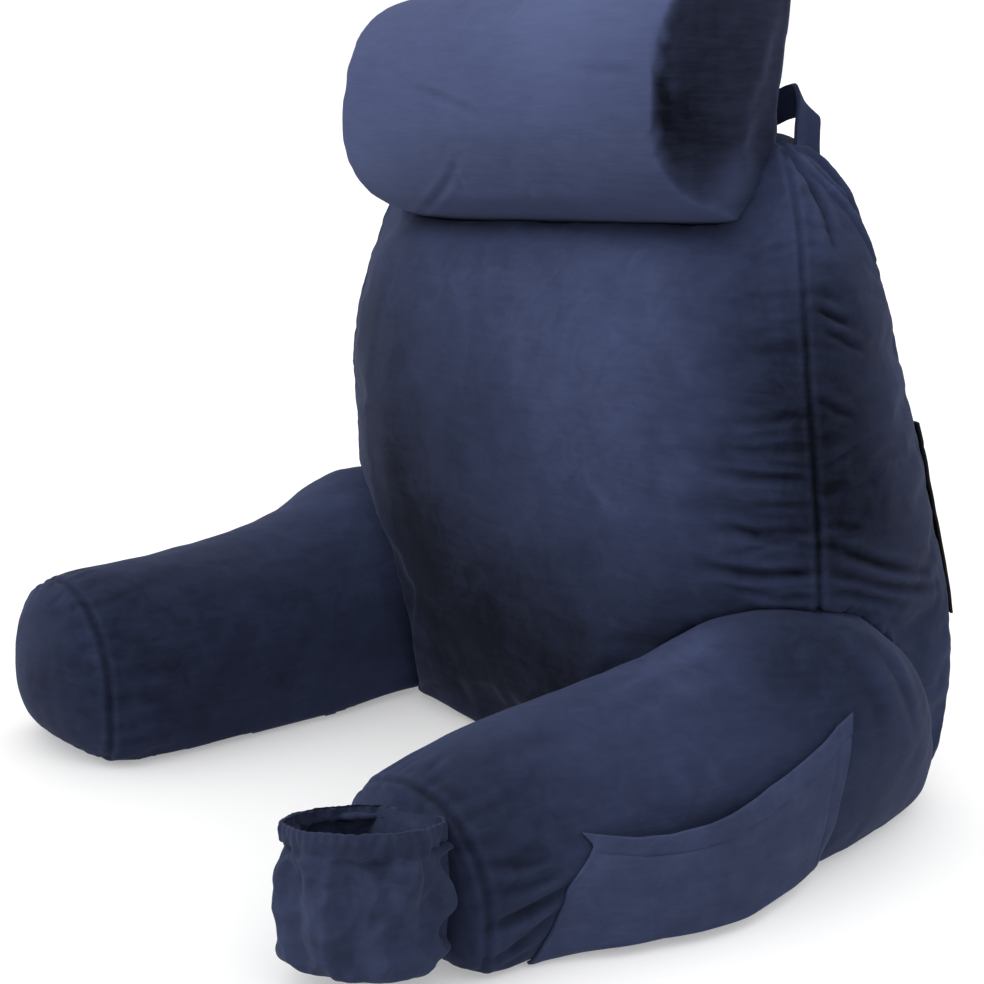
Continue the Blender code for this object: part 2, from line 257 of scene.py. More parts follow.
def inflate(thing, pressure, cap, slack, guard, pinned=None):
    """Lets the cover swell over its filling, and caps how far each point may move."""
    scene = bpy.context.scene
    before = points_of(thing.data)
    cloth = thing.modifiers.new("Filling", "CLOTH")
    settings = cloth.settings
    settings.quality = 4
    settings.mass = 0.25
    settings.tension_stiffness = 12
    settings.compression_stiffness = 12
    settings.shear_stiffness = 6
    settings.bending_stiffness = 0.2
    settings.use_pressure = True
    settings.uniform_pressure_force = pressure
    settings.shrink_min = -slack
    settings.effector_weights.gravity = 0.0
    if pinned is not None:
        group = thing.vertex_groups.new(name="Seams")
        for weight in (0.5, 1.0):
            chosen = np.where((pinned > weight - 0.25) & (pinned <= weight + 0.25))[0]
            group.add(chosen.tolist(), weight, "REPLACE")
        settings.vertex_group_mass = "Seams"
        settings.pin_stiffness = 4.0
    cloth.point_cache.frame_start = 1
    cloth.point_cache.frame_end = SIM_FRAMES
    for number in range(1, SIM_FRAMES + 1):
        scene.frame_set(number)
    graph = bpy.context.evaluated_depsgraph_get()
    after = points_of(thing.evaluated_get(graph).data)
    thing.modifiers.remove(cloth)
    scene.frame_set(1)
    move = after - before
    length = np.maximum(np.linalg.norm(move, axis=1), 1e-9)
    share = np.minimum(1.0, cap * guard / length)
    set_points(thing.data, before + move * share[:, None])


def settle_on_floor(mesh, ease=0.0015):
    """Nothing goes below the surface that the pillow stands on, and the foot is flat there."""
    points = points_of(mesh)
    points[:, 2] = np.maximum(points[:, 2], 0.0)
    points[points[:, 2] < ease, 2] = 0.0
    set_points(mesh, points)


def refine_near(thing, folds):
    """Halves the mesh spacing where folds run, so that narrow ones come out crisp."""
    points = points_of(thing.data)
    near = np.zeros(len(points), bool)
    for fold in folds:
        route = np.asarray(fold.route, float)
        reach = 3.2 * fold.width
        inside = np.where(((points > route.min(0) - reach) & (points < route.max(0) + reach)).all(1))[0]
        if len(inside):
            near[inside] |= route_distance(points[inside], route)[0] < reach
    form = bmesh.new()
    form.from_mesh(thing.data)
    form.verts.ensure_lookup_table()
    edges = [edge for edge in form.edges if near[edge.verts[0].index] and near[edge.verts[1].index]]
    bmesh.ops.subdivide_edges(form, edges=edges, cuts=1, use_grid_fill=True)
    form.to_mesh(thing.data)
    form.free()
    thing.data.shade_smooth()


def soften(thing):
    """Rounds a mesh off with one level of subdivision."""
    even = thing.modifiers.new("Soften", "SUBSURF")
    even.levels = 1
    even.render_levels = 1


def crease(piece, tree, folds, patches):
    """Presses folds into a cover, whose mesh is made finer along them first, and paints its shading."""
    refine_near(piece, folds)
    press_folds(piece.data, folds)
    paint_shading_patches(piece.data, tree, patches)


# ---- the photograph's view

def view_matrix():
    turn = Euler((math.radians(CAMERA_PITCH), 0.0, math.radians(CAMERA_BEARING)))
    return Matrix.Translation(CAMERA_PLACE) @ turn.to_matrix().to_4x4()


def sight(px, py, tree):
    """The point of a surface that is seen at a place of the photograph, or None."""
    half = PHOTO_SIDE / 2
    ray = Vector((px - half, half - py, -FOCAL_PIXELS)).normalized()
    return tree.ray_cast(Vector(CAMERA_PLACE), view_matrix().to_3x3() @ ray)[0]


def seen_route(tree, places, steps=4):
    """A polyline on a surface through places of the photograph."""
    found = []
    for (ax, ay), (bx, by) in zip(places, places[1:]):
        for step in range(steps):
            hit = sight(ax + (bx - ax) * step / steps, ay + (by - ay) * step / steps, tree)
            if hit is not None:
                found.append(hit)
    hit = sight(*places[-1], tree)
    found += [hit] if hit is not None else []
    for _ in range(3):
        found[1:-1] = [(a + 2 * b + c) / 4 for a, b, c in zip(found, found[1:], found[2:])]
    return found


def laid_route(tree, route, steps=6):
    """A polyline between given points, laid on the nearest surface."""
    found = []
    for start, end in zip(route, route[1:]):
        for step in range(steps):
            point = Vector(start).lerp(Vector(end), step / steps)
            found.append(tree.find_nearest(point)[0])
    return found + [tree.find_nearest(Vector(route[-1]))[0]]


def seen_folds(tree, folds):
    """Folds that are given by places in the photograph's view, laid on a surface."""
    return [Fold(seen_route(tree, fold.route), *fold[1:]) for fold in folds]


def puckers(tree, seam, gather, draw, side=1, share=1.0):
    """Short wrinkles that run off a seam towards a point, where the cover is gathered into it.

    The side is 1 or -1 for +X or -X, and the share makes them shallower.
    """
    folds = []
    towards = Vector(mirrored([gather.towards], side)[0])
    depth = gather.depth * share
    place = draw.uniform(0, gather.spacing)
    seam = [Vector(p) for p in seam]
    spans = [(b - a).length for a, b in zip(seam, seam[1:])]
    total = sum(spans)
    while place < total:
        rest = place
        for i, span in enumerate(spans):
            if rest <= span:
                break
            rest -= span
        along = (seam[i + 1] - seam[i]).normalized()
        start = seam[i] + along * rest
        across = tree.find_nearest(start)[1].cross(along)
        if across.dot(towards - start) < 0:
            across.negate()
        across = (across + along * draw.uniform(-0.2, 0.2)).normalized()
        length = gather.reach * draw.uniform(0.3, 1.0)
        bend = along * draw.uniform(-0.12, 0.12)
        route = []
        for step in range(6):
            share = step / 5
            route.append(tree.find_nearest(start + (across + bend * share) * length * share)[0])
        deep = depth * draw.uniform(0.4, 1.0)
        wide = gather.width * draw.uniform(0.7, 1.2)
        folds.append(Fold(route, deep, wide, 0.6))
        place += gather.spacing * draw.uniform(0.65, 1.35)
    return folds


# ---- materials

WAVE_RADIANS = 20           # of a wave texture in each metre, at a scale of 1
STROKE_TONE = 0.16          # how much the strokes of the nap count in the tone of a velvet
NAP_AND_SHADING_TONE = 0.5              # how much the nap attribute counts, with its painted shade and painted light


def add_node(tree, kind, settings=None, links=None, stops=None):
    """Adds a shader node, with settings by attribute, socket name or socket number, with links, and
    with the stops of a colour ramp as (position, colour)."""
    node = tree.nodes.new(kind)
    for key, value in (settings or {}).items():
        if isinstance(key, str) and hasattr(node, key):
            setattr(node, key, value)
        else:
            node.inputs[key].default_value = value
    for key, source in (links or {}).items():
        tree.links.new(source, node.inputs[key])
    if stops:
        elements = node.color_ramp.elements
        elements[0].position, elements[0].color = stops[0]
        elements[1].position, elements[1].color = stops[-1]
        for position, colour in stops[1:-1]:
            elements.new(position).color = colour
    return node


def velvet(name, dark, middle, light, pile_mm=1.3, mottle=0.30):
    """Short-pile polyester velvet, cut and brushed: matt, with soft patches and long faint strokes
    where the nap lies over, and a slight bloom at grazing angles. The real pile is 0.3 mm across,
    and it is drawn coarser to show."""
    material = bpy.data.materials.new(name)
    material.use_nodes = True
    tree = material.node_tree
    shader = tree.nodes["Principled BSDF"]
    shader.inputs["Roughness"].default_value = 0.9
    shader.inputs["Specular IOR Level"].default_value = 0.12
    shader.inputs["Sheen Weight"].default_value = 0.08
    shader.inputs["Sheen Roughness"].default_value = 0.5
    shader.inputs["Sheen Tint"].default_value = linear("#939CC4")
    shader.inputs["Specular Tint"].default_value = linear("#98A1C6")
    place = add_node(tree, "ShaderNodeTexCoord").outputs["Object"]
    patches = add_node(tree, "ShaderNodeTexNoise", {
        "Scale": 1 / 0.065, "Detail": 3.0, "Roughness": 0.55, "Distortion": 0.7}, {"Vector": place})
    smudges = add_node(tree, "ShaderNodeTexNoise", {
        "Scale": 1 / 0.020, "Detail": 5.0, "Roughness": 0.62, "Distortion": 1.0}, {"Vector": place})
    combed = add_node(tree, "ShaderNodeMapping", {"Scale": (1.0, 1.0, 7.0)}, {"Vector": place})
    strokes = add_node(tree, "ShaderNodeTexNoise", {
        "Scale": 1 / 0.030, "Detail": 4.0, "Roughness": 0.65, "Distortion": 0.3},
        {"Vector": combed.outputs["Vector"]})
    # the nap attribute carries painted shade and painted light, with some nap
    nap = add_node(tree, "ShaderNodeAttribute", {"attribute_name": "nap"})
    tone = add_node(tree, "ShaderNodeMath", {
        "operation": "MULTIPLY_ADD", 1: mottle, 2: 0.5 - mottle - 0.08}, {0: patches.outputs["Fac"]})
    for source, share in ((smudges, mottle), (strokes, STROKE_TONE), (nap, NAP_AND_SHADING_TONE)):
        tone = add_node(tree, "ShaderNodeMath", {"operation": "MULTIPLY_ADD", 1: share},
                        {0: source.outputs["Fac"], 2: tone.outputs[0]})
    colour = add_node(tree, "ShaderNodeValToRGB", links={"Fac": tone.outputs[0]},
                      stops=[(0.0, linear(dark)), (0.5, linear(middle)), (1.0, linear(light))])
    tree.links.new(colour.outputs["Color"], shader.inputs["Base Color"])
    pile = add_node(tree, "ShaderNodeTexNoise", {
        "Scale": 1000 / pile_mm, "Detail": 2.0, "Roughness": 0.7}, {"Vector": place})
    lying = add_node(tree, "ShaderNodeBump", {"Strength": 0.30, "Distance": 0.0015},
                     {"Height": strokes.outputs["Fac"]})
    bump = add_node(tree, "ShaderNodeBump", {"Strength": 0.40, "Distance": 0.0005},
                    {"Height": pile.outputs["Fac"], "Normal": lying.outputs["Normal"]})
    tree.links.new(bump.outputs["Normal"], shader.inputs["Normal"])
    return material


def plain_weave(name, colour, thread_mm=0.9, coarser=2 * math.pi):
    """Flat black polyester cloth, plain woven: dull, with a faint weave. The real threads are 0.9 mm
    apart, and they are drawn 6.3 times coarser to show."""
    material = bpy.data.materials.new(name)
    material.use_nodes = True
    tree = material.node_tree
    shader = tree.nodes["Principled BSDF"]
    shader.inputs["Roughness"].default_value = 0.85
    shader.inputs["Specular IOR Level"].default_value = 0.2
    place = add_node(tree, "ShaderNodeTexCoord").outputs["Object"]
    scale = 2 * math.pi / WAVE_RADIANS * 1000 / (thread_mm * coarser)
    threads, picks = (
        add_node(tree, "ShaderNodeTexWave", {
            "bands_direction": direction, "Scale": scale, "Distortion": 0.4}, {"Vector": place})
        for direction in ("X", "Z"))
    both = add_node(tree, "ShaderNodeMath", {"operation": "MULTIPLY"},
                    {0: threads.outputs["Fac"], 1: picks.outputs["Fac"]})
    tone = add_node(tree, "ShaderNodeValToRGB", links={"Fac": both.outputs[0]},
                    stops=[(0.0, linear(colour)), (1.0, linear("#0E0F13"))])
    tree.links.new(tone.outputs["Color"], shader.inputs["Base Color"])
    bump = add_node(tree, "ShaderNodeBump", {"Strength": 0.5, "Distance": 0.0004},
                    {"Height": both.outputs[0]})
    tree.links.new(bump.outputs["Normal"], shader.inputs["Normal"])
    return material


def matt_paint(name, colour):
    """Smooth matt paint on a studio floor: pale, with no grain that the eye could rest on."""
    material = bpy.data.materials.new(name)
    material.use_nodes = True
    shader = material.node_tree.nodes["Principled BSDF"]
    shader.inputs["Base Color"].default_value = linear(colour)
    shader.inputs["Roughness"].default_value = 0.9
    shader.inputs["Specular IOR Level"].default_value = 0.1
    return material


FINISHES = {}


def finish(name):
    """A finish of this pillow, made when it is first asked for."""
    if name not in FINISHES:
        colours = bpy.context.scene.pillow_cover
        FINISHES[name] = {
            "cover": lambda: velvet("navy_velvet_brushed", colours.dark, colours.middle, colours.light),
            # The roll's velvet is stretched smooth, with less mottle, and its lighter colours are painted
            # light
            "roll": lambda: velvet(
                "navy_velvet_stretched_painted_light", colours.dark, "#343B55", "#485171", mottle=0.10),
            "pocket": lambda: velvet("navy_velvet_single_layer", colours.dark, "#2A3046", "#424967"),
            "black": lambda: plain_weave("black_plain_weave", "#040406"),
            "floor": lambda: matt_paint("studio_floor_matt_paint", "#F8F8F8"),
        }[name]()
    return FINISHES[name]


# ---- settings

class CoverSettings(bpy.types.PropertyGroup):
    dark: bpy.props.StringProperty(
        name="Shaded nap", description="Colour of the nap that lies away from the light", default="#05060B")
    middle: bpy.props.StringProperty(
        name="Nap", description="Main colour of the velvet", default="#23293E")
    light: bpy.props.StringProperty(
        name="Brushed nap", description="Colour of the nap that is brushed towards the light",
        default="#3B4260")


class FillingSettings(bpy.types.PropertyGroup):
    pressure: bpy.props.FloatProperty(
        name="Filling pressure", description="How hard the filling pushes the cover out",
        default=4.0, min=0)
    voxel: bpy.props.FloatProperty(
        name="Cloth spacing", description="Distance between the points of the simulated cover",
        default=0.006, min=0.003, unit="LENGTH")
    lump: bpy.props.FloatProperty(
        name="Lumps", description="Height of the soft unevenness of the filling", default=0.0022,
        unit="LENGTH")


class StageSettings(bpy.types.PropertyGroup):
    floor: bpy.props.FloatProperty(
        name="Floor", description="Side of the studio floor", default=40.0, unit="LENGTH")
    light: bpy.props.FloatProperty(
        name="Key light", description="Power of the large soft light", default=80.0, unit="POWER")
    sky: bpy.props.FloatProperty(
        name="Room light", description="Strength of the even light of the room", default=1.02)
    wash: bpy.props.FloatProperty(
        name="Floor wash", description="Strength of the light on the floor alone", default=1.0)


# ---- filled pieces

COVER_SLACK = 0.03          # share by which the cloth of a cover is longer than its solid's surface
JOIN_REACH = 0.02           # closer than this to a neighbour, a cover swells less

BACKREST_SWELL = 0.008      # how far its cover may stand off its solid
BACKREST_FOOT = 0.03        # below this height it swells less
SEAM_REACH = 0.008          # a seam holds the cover back this far on each side
FAR_SIDE_SHARE = 0.45       # depth of the puckers on the side that shows less, of the near side's

# The seams of the backrest on its +X side, from the shoulder down: (half width, along, height)
FRONT_SEAM = (
    (0.205, 0.150, 0.490), (0.240, 0.132, 0.430), (0.264, 0.114, 0.360), (0.272, 0.112, 0.320),
    (0.279, 0.116, 0.250), (0.281, 0.121, 0.180), (0.279, 0.123, 0.100), (0.268, 0.118, 0.010),
)
REAR_SEAM = (
    (0.205, 0.186, 0.490), (0.230, 0.218, 0.420), (0.240, 0.240, 0.340), (0.250, 0.260, 0.260),
    (0.266, 0.276, 0.170), (0.276, 0.284, 0.090), (0.268, 0.280, 0.010),
)
FRONT_LOW_GATHER = Gather((0, 0.05, 0.22), 0.014, 0.085, 0.0017, 0.0032)
FRONT_MIDDLE_GATHER = Gather((0, 0.05, 0.25), 0.020, 0.050, 0.0012, 0.0034)
SIDE_GATHER = Gather((0.3, 0.3, 0.2), 0.018, 0.050, 0.0012, 0.0036)
REAR_GATHER = Gather((0, 0.4, 0.2), 0.022, 0.060, 0.0010, 0.0050)


def mirrored(route, side):
    """A route on the +X side, or its mirror image where the side is -1."""
    return [(side * x, y, z) for x, y, z in route]


def backrest_folds(tree, seams):
    """The backrest's two front seams and two rear seams, the puckers along them, and its pleats."""
    draw = random.Random(11)
    folds = []
    for side, seam in zip((1, -1), seams[:2]):
        route = laid_route(tree, seam)
        share = 1.0 if side > 0 else FAR_SIDE_SHARE
        folds.append(Fold(route, 0.0024, 0.0022, 0.12))
        folds += puckers(tree, route[18:], FRONT_LOW_GATHER, draw, side, share)
        folds += puckers(tree, route[6:20], FRONT_MIDDLE_GATHER, draw, side, share)
        folds += puckers(tree, route, SIDE_GATHER, draw, side, share)
    for seam in seams[2:]:
        route = laid_route(tree, seam)
        folds.append(Fold(route, 0.0010, 0.0032, 0.15))
        folds += puckers(tree, route, REAR_GATHER, draw)
    folds += seen_folds(tree, SIDE_PLEATS)
    return [fold for fold in folds if len(fold.route) > 1]


class PILLOW_OT_backrest(bpy.types.Operator):
    """Makes the filled backrest with its seams, puckers and pleats"""
    bl_idname = "pillow.backrest"
    bl_label = "Backrest"

    def execute(self, context):
        filling = context.scene.pillow_filling
        solid = tree_of(NODES["backrest"])
        neighbours = [tree_of(NODES[name]) for name in ("arm_left", "arm_right", "neck_roll")]
        piece = cushion_copy("backrest", "backrest_cushion", filling.voxel, finish("cover"))
        points = points_of(piece.data)
        guard = np.ones(len(points))
        for tree in neighbours:
            guard = np.minimum(guard, near_shares(points, tree, JOIN_REACH))
        guard *= np.clip(points[:, 2] / BACKREST_FOOT, 0, 1)
        seams = [mirrored(route, side) for route in (FRONT_SEAM, REAR_SEAM) for side in (1, -1)]
        pinned = np.zeros(len(points))
        for seam in seams:
            distance = route_distance(points, laid_route(solid, seam))[0]
            pinned = np.maximum(pinned, np.clip(1.4 - distance / SEAM_REACH, 0, 1))
        inflate(piece, filling.pressure, BACKREST_SWELL, COVER_SLACK, guard, pinned)
        swell_lumps(piece.data, 0.07, filling.lump, 3)
        soften(piece)
        apply_modifiers(piece)
        tree = tree_of(piece)
        crease(piece, tree, backrest_folds(tree, seams), BACKREST_NAP_AND_SHADING)
        settle_on_floor(piece.data)
        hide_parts("backrest")
        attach(piece, "root")
        return {"FINISHED"}


# Pleats by their places in the photograph's view: nine of the side panel, the first three from the
# strap down, and three of the front panel that run into its seam
SIDE_PLEATS = (
    Fold(((784, 143), (802, 161), (820, 179), (836, 194), (849, 208), (859, 224), (867, 240), (878, 266)),
         -0.0034, 0.0022, 0.4),
    Fold(((806, 150), (828, 168), (846, 190), (858, 212), (868, 236)), 0.0032, 0.0028, 0.5),
    Fold(((787, 149), (800, 168), (812, 186), (822, 204), (830, 226), (836, 252)), 0.0034, 0.0034, 0.5),
    Fold(((818, 307), (836, 320), (852, 324)), 0.0030, 0.0030, 0.8),
    Fold(((823, 329), (845, 342), (865, 351)), 0.0026, 0.0030, 0.8),
    Fold(((816, 398), (836, 410), (856, 416)), 0.0026, 0.0032, 0.8),
    Fold(((822, 545), (850, 553), (885, 566), (925, 572)), 0.0042, 0.0036, 0.7),
    Fold(((826, 570), (858, 580), (900, 588), (936, 586)), 0.0036, 0.0036, 0.7),
    Fold(((830, 590), (862, 596), (905, 606)), 0.0030, 0.0036, 0.7),
    Fold(((700, 470), (755, 480), (813, 476)), 0.0026, 0.0034, 0.8),
    Fold(((712, 530), (770, 536), (813, 530)), 0.0028, 0.0036, 0.8),
    Fold(((700, 566), (760, 578), (816, 572)), 0.0034, 0.0038, 0.8),
)
# Patches of painted shade and painted light, with some nap: shade low between the arms, at the edges of the
# front panel and on the side panel; light in the middle of the front panel
BACKREST_NAP_AND_SHADING = (
    Brushed((610, 330), 0.120, 0.28), Brushed((640, 480), 0.080, 0.16),
    Brushed((375, 330), 0.070, -0.45), Brushed((395, 480), 0.085, -0.60), Brushed((480, 420), 0.050, -0.25),
    Brushed((440, 640), 0.120, -0.90), Brushed((560, 690), 0.110, -0.75), Brushed((700, 620), 0.060, -0.30),
    Brushed((760, 330), 0.060, -0.45), Brushed((770, 480), 0.070, -0.50), Brushed((710, 230), 0.040, -0.30),
    Brushed((850, 400), 0.055, -0.55), Brushed((870, 530), 0.065, -0.55), Brushed((900, 390), 0.022, 0.30),
    Brushed((850, 300), 0.040, -0.30), Brushed((930, 600), 0.040, -0.30),
)


ARM_SWELL = 0.0035          # how far an arm's cover may stand off its solid
ARM_FOOT = 0.02             # below this height it swells less
ARM_JOIN_SHARE = 0.35       # of its swelling that is left where it meets the backrest
END_SEAM_MIDDLE = (0.219, 0.056)    # across and height
NEAR_END_SEAM = 0.016       # from the front of the near arm back to its end seam
FAR_END_SEAM = 0.030
ARM_SIDE_GATHER = Gather((0.22, 0.2, 0.05), 0.016, 0.050, 0.0012, 0.0050)
ARM_END_GATHER = Gather((0.22, -0.4, 0.05), 0.020, 0.030, 0.0008, 0.0045)


def arm_folds(tree, node, side, seed):
    """An arm's end seam with the puckers along it, and the folds that show on the near arm."""
    draw = random.Random(seed)
    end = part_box(node)[0][1] + (NEAR_END_SEAM if side > 0 else FAR_END_SEAM)
    rim = end_rim(tree, side * END_SEAM_MIDDLE[0], end, END_SEAM_MIDDLE[1])
    folds = [Fold(rim, 0.0018, 0.0028, 0.0)]
    folds += puckers(tree, rim, ARM_SIDE_GATHER, draw, side)
    folds += puckers(tree, rim, ARM_END_GATHER, draw, side)
    if side > 0:
        folds += seen_folds(tree, ARM_FOLDS)
    return [fold for fold in folds if len(fold.route) > 1]


class PILLOW_OT_arms(bpy.types.Operator):
    """Makes the two filled arms with their end seams and folds"""
    bl_idname = "pillow.arms"
    bl_label = "Arms"

    def execute(self, context):
        filling = context.scene.pillow_filling
        body = tree_of(NODES["backrest"])
        for node, seed in (("arm_left", 5), ("arm_right", 8)):
            piece = cushion_copy(node, node + "_cushion", filling.voxel * 0.8, finish("cover"))
            points = points_of(piece.data)
            guard = ARM_JOIN_SHARE + (1 - ARM_JOIN_SHARE) * near_shares(points, body, JOIN_REACH)
            guard *= np.clip(points[:, 2] / ARM_FOOT, 0, 1)
            inflate(piece, filling.pressure, ARM_SWELL, COVER_SLACK, guard)
            swell_lumps(piece.data, 0.055, filling.lump * 0.8, seed)
            soften(piece)
            apply_modifiers(piece)
            tree = tree_of(piece)
            side = 1 if node == "arm_left" else -1
            folds = arm_folds(tree, node, side, seed)
            crease(piece, tree, folds, ARM_NAP_AND_SHADING if side > 0 else FAR_ARM_NAP_AND_SHADE)
            settle_on_floor(piece.data)
            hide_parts(node)
            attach(piece, "root")
        return {"FINISHED"}


# Folds of the near arm, by their places in the photograph's view
ARM_FOLDS = (
    Fold(((482, 866), (515, 868), (545, 864)), 0.0014, 0.0034, 0.8),
    Fold(((488, 896), (530, 886), (575, 868)), 0.0018, 0.0034, 0.8),
    Fold(((486, 928), (520, 914), (560, 894), (578, 878)), 0.0026, 0.0036, 0.7),
    Fold(((484, 944), (512, 932), (545, 912), (560, 900)), -0.0020, 0.0034, 0.7),
    Fold(((480, 964), (505, 955), (540, 930), (552, 915)), 0.0028, 0.0036, 0.7),
    Fold(((500, 966), (520, 957), (534, 946)), 0.0014, 0.0034, 0.8),
    Fold(((480, 760), (530, 742), (590, 722)), 0.0014, 0.0090, 0.8),
    Fold(((640, 690), (690, 668), (740, 650)), 0.0014, 0.0100, 0.8),
    Fold(((862, 640), (888, 660), (905, 690), (915, 730)), 0.0018, 0.0060, 0.7),
    Fold(((840, 650), (872, 690), (885, 740)), 0.0014, 0.0080, 0.7),
)
# Patches of painted shade and painted light on the near arm, with some nap
ARM_NAP_AND_SHADING = (
    Brushed((690, 655), 0.040, 0.40), Brushed((800, 660), 0.065, -0.60), Brushed((600, 710), 0.060, 0.02),
    Brushed((520, 790), 0.060, -0.35), Brushed((480, 900), 0.050, -0.40), Brushed((560, 930), 0.050, -0.10),
    Brushed((430, 780), 0.040, -0.35), Brushed((905, 650), 0.045, -0.45), Brushed((900, 760), 0.060, -0.15),
)
# Patches of painted shade on the far arm, with some nap
FAR_ARM_NAP_AND_SHADE = (
    Brushed((90, 590), 0.060, -0.35), Brushed((50, 700), 0.070, -0.40), Brushed((300, 600), 0.120, -0.40),
    Brushed((180, 680), 0.080, -0.40),
)


def end_rim(tree, x, y, z):
    """The seam round the end of an arm: where a plane across it meets its surface."""
    rim = []
    for step in range(49):
        angle = 2 * math.pi * step / 48
        ray = Vector((math.cos(angle), 0.0, math.sin(angle)))
        hit = tree.ray_cast(Vector((x, y, z)), ray)[0]
        if hit is not None:
            rim.append(hit)
    return rim


ROLL_SWELL = 0.003          # how far its cover may stand off its solid
ROLL_JOIN_REACH = 0.015     # closer than this to the backrest, it swells less
ROLL_JOIN_SHARE = 0.1       # of its swelling that is left there
ROLL_END_BULGE = (0.008, 0.003)     # how far its +X end and its -X end stand out
ROLL_END_REACH = (0.12, 0.06)       # from where along it an end starts to stand out, and over what length
ROLL_END_DEPTH = 0.005      # how far the rear of its +X end reaches back
ROLL_END_FACING = (0.993, -0.05, 0.10)
ROLL_END_SHADES = (-0.80, -0.40)     # painted shade on its +X end and its -X end
# Patches of painted light on its top and on the rim of its +X end, and of painted shade, with some nap
ROLL_NAP_AND_SHADING = (
    Brushed((560, 10), 0.060, 0.35), Brushed((380, 190), 0.040, 0.25), Brushed((520, 130), 0.080, -0.10),
    Brushed((735, 185), 0.022, 0.45), Brushed((640, 110), 0.050, -0.20),
)
# Folds of the roll, by their places in the photograph's view
ROLL_FOLDS = (
    Fold(((400, 84), (430, 92), (485, 118)), 0.0010, 0.0034, 0.9),
    Fold(((418, 214), (445, 190), (463, 150)), 0.0012, 0.0036, 0.9),
    Fold(((560, 66), (620, 72), (668, 70)), 0.0008, 0.0036, 0.9),
    Fold(((655, 30), (664, 80), (668, 130)), 0.0010, 0.0044, 0.9),
)


class PILLOW_OT_neck_roll(bpy.types.Operator):
    """Makes the half-round neck roll with its folds and the painted shade on its ends"""
    bl_idname = "pillow.neck_roll"
    bl_label = "Neck roll"

    def execute(self, context):
        filling = context.scene.pillow_filling
        piece = cushion_copy("neck_roll", "neck_roll_cushion", filling.voxel * 0.8, finish("roll"))
        points = points_of(piece.data)
        body = tree_of(NODES["backrest"])
        guard = ROLL_JOIN_SHARE + (1 - ROLL_JOIN_SHARE) * near_shares(points, body, ROLL_JOIN_REACH)
        inflate(piece, filling.pressure * 0.7, ROLL_SWELL, 0.0, guard)
        swell_lumps(piece.data, 0.09, filling.lump * 0.4, 14)
        points = points_of(piece.data)
        start, length = ROLL_END_REACH
        right = np.clip((points[:, 0] - start) / length, 0, 1)
        left = np.clip((-start - points[:, 0]) / length, 0, 1)
        points[:, 0] += ROLL_END_BULGE[0] * right + ROLL_END_BULGE[1] * left
        points[:, 1] += ROLL_END_DEPTH * right * np.clip((points[:, 1] - 0.09) / 0.06, 0, 1)
        set_points(piece.data, points)
        soften(piece)
        apply_modifiers(piece)
        # Painted shade on both ends, darker on the +X end
        facing = normals_of(piece.data) @ np.array(ROLL_END_FACING)
        for tone, towards_end in zip(ROLL_END_SHADES, (facing, -facing)):
            add_tone(piece.data, tone * np.clip((towards_end - 0.66) / 0.32, 0, 1))
        tree = tree_of(piece)
        crease(piece, tree, seen_folds(tree, ROLL_FOLDS), ROLL_NAP_AND_SHADING)
        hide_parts("neck_roll")
        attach(piece, "root")
        return {"FINISHED"}


# ---- sheets

def patch(name, columns, rows, place, thickness, offset, material):
    """A cloth piece whose points are placed by place(u, v), u and v from 0 to 1."""
    grid = bmesh.new()
    bmesh.ops.create_grid(grid, x_segments=columns, y_segments=rows, size=1)
    for vert in grid.verts:
        vert.co = place((vert.co.x + 1) / 2, (vert.co.y + 1) / 2)
    mesh = bpy.data.meshes.new(name)
    grid.to_mesh(mesh)
    grid.free()
    piece = new_piece(name, mesh, material)
    wall = piece.modifiers.new("Wall", "SOLIDIFY")
    wall.thickness = thickness
    wall.offset = offset
    return piece


def curve_point(stations, share):
    """A point on the smooth curve through a table's rows, all columns at once."""
    spans = len(stations) - 1
    index = min(int(share * spans), spans - 1)
    t = share * spans - index
    before, start = stations[max(index - 1, 0)], stations[index]
    end, after = stations[index + 1], stations[min(index + 2, spans)]
    return [
        0.5 * (2 * q + (r - p) * t + (2 * p - 5 * q + 4 * r - s) * t * t + (3 * q - p - 3 * r + s) * t ** 3)
        for p, q, r, s in zip(before, start, end, after)]


# The strap's route: (across, along, height, turn in degrees)
STRAP_ROUTE = (
    (0.1990, 0.1790, 0.4770, 8), (0.1985, 0.1785, 0.4860, 8), (0.1988, 0.1780, 0.4970, 10),
    (0.1990, 0.1780, 0.5100, 28), (0.1922, 0.1780, 0.5168, 56), (0.1800, 0.1780, 0.5150, 80),
    (0.1680, 0.1780, 0.5105, 82), (0.1555, 0.1780, 0.5060, 80), (0.1430, 0.1785, 0.5025, 72),
)
STRAP_WIDTH = 0.024
STRAP_THICKNESS = 0.003
STRAP_DISH = 0.0008         # how far its edges stand out past its middle line


class PILLOW_OT_carry_handle(bpy.types.Operator):
    """Makes the strap loop on the shoulder"""
    bl_idname = "pillow.carry_handle"
    bl_label = "Carry handle"

    def execute(self, context):
        def place(u, v):
            across, along, height, turn = curve_point(STRAP_ROUTE, u)
            turn = math.radians(turn)
            width = Vector((0.0, math.cos(turn), -math.sin(turn)))
            dish = STRAP_DISH * math.cos(2 * math.pi * v)
            return Vector((across + dish, along, height)) + width * STRAP_WIDTH * (v - 0.5)

        piece = patch("strap", 60, 14, place, STRAP_THICKNESS, 0.0, finish("cover"))
        apply_modifiers(piece)
        rolled = piece.modifiers.new("Rolled edges", "BEVEL")
        rolled.width = 0.0011
        rolled.segments = 3
        rolled.limit_method = "ANGLE"
        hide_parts("carry_handle")
        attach(piece, "root")
        return {"FINISHED"}


